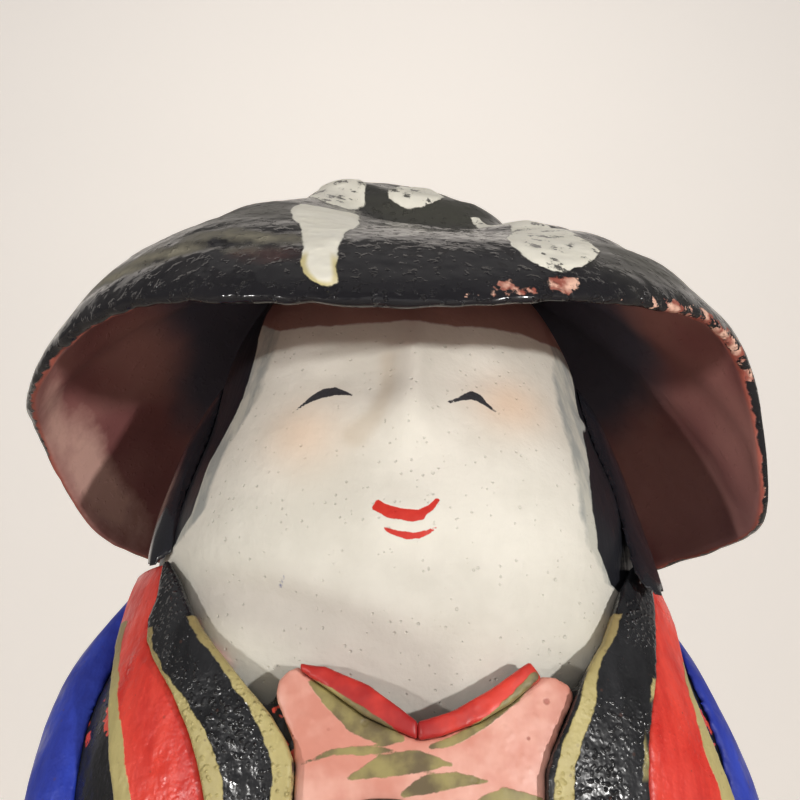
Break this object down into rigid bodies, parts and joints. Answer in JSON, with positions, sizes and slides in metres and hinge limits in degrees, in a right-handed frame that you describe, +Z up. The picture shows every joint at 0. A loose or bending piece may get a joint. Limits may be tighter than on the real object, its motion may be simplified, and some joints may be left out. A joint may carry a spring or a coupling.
{
  "type": "papier-mache doll figure",
  "caption": "Standing papier-mache doll of a woman with a white face, layered robes and a wide domed black hat.",
  "frame": {"origin": "on the resting surface, under the centre post, midway between the robe's two sides", "axes": "+Z up along the centre post, -Y towards the front of the figure, +X to the right as seen from the front"},
  "size_m": [0.1104, 0.1104, 0.1864],
  "materials": {
    "robe_paint": "layered paper painted glossy black, with red and gold brush lines on the layers over it",
    "blue_paint": "layered paper, satin ultramarine brush paint",
    "pink_paint": "layered paper, satin salmon pink paint with olive gold leaf strokes",
    "red_paint": "layered paper, glossy vermilion brush paint",
    "black_lacquer": "layered paper, glossy black paint",
    "face_paint": "layered paper under pitted matt white shell paint, brush-drawn features",
    "seam_paper": "bare pasted paper, matt",
    "post_wood": "plain sawn softwood",
    "disc_board": "grey-brown pasteboard, matt",
    "clay": "dried unglazed clay",
    "hat_lacquer": "layered paper, thick glossy black paint with bumps, white brush marks and worn edges",
    "hat_red_paint": "reddish brown matt paint over paper"
  },
  "bodies": {
    "root": {"robe_front_shell": "robe_paint", "robe_back_shell": "robe_paint", "robe_seam_left": "seam_paper", "robe_seam_right": "seam_paper", "sleeve_left": "blue_paint", "sleeve_right": "blue_paint", "under_robe_panel": "pink_paint", "red_collar_left": "red_paint", "red_collar_right": "red_paint", "red_lapel_left": "red_paint", "red_lapel_right": "red_paint", "black_lapel_left": "black_lacquer", "black_lapel_right": "black_lacquer", "sash_band": "robe_paint", "sash_knot": "black_lacquer", "face_shell": "face_paint", "hair_shell": "black_lacquer", "head_seam_left": "seam_paper", "head_seam_right": "seam_paper", "side_lock_left": "black_lacquer", "side_lock_right": "black_lacquer", "hair_tail": "black_lacquer", "base_paper": "seam_paper", "centre_post": "post_wood", "base_board": "disc_board", "clay_weight": "clay", "shoulder_disc": "disc_board", "head_floor_disc": "disc_board", "hat_pad": "post_wood", "hat_shell": "hat_lacquer", "hat_lining": "hat_red_paint"}
  },
  "joints": []
}
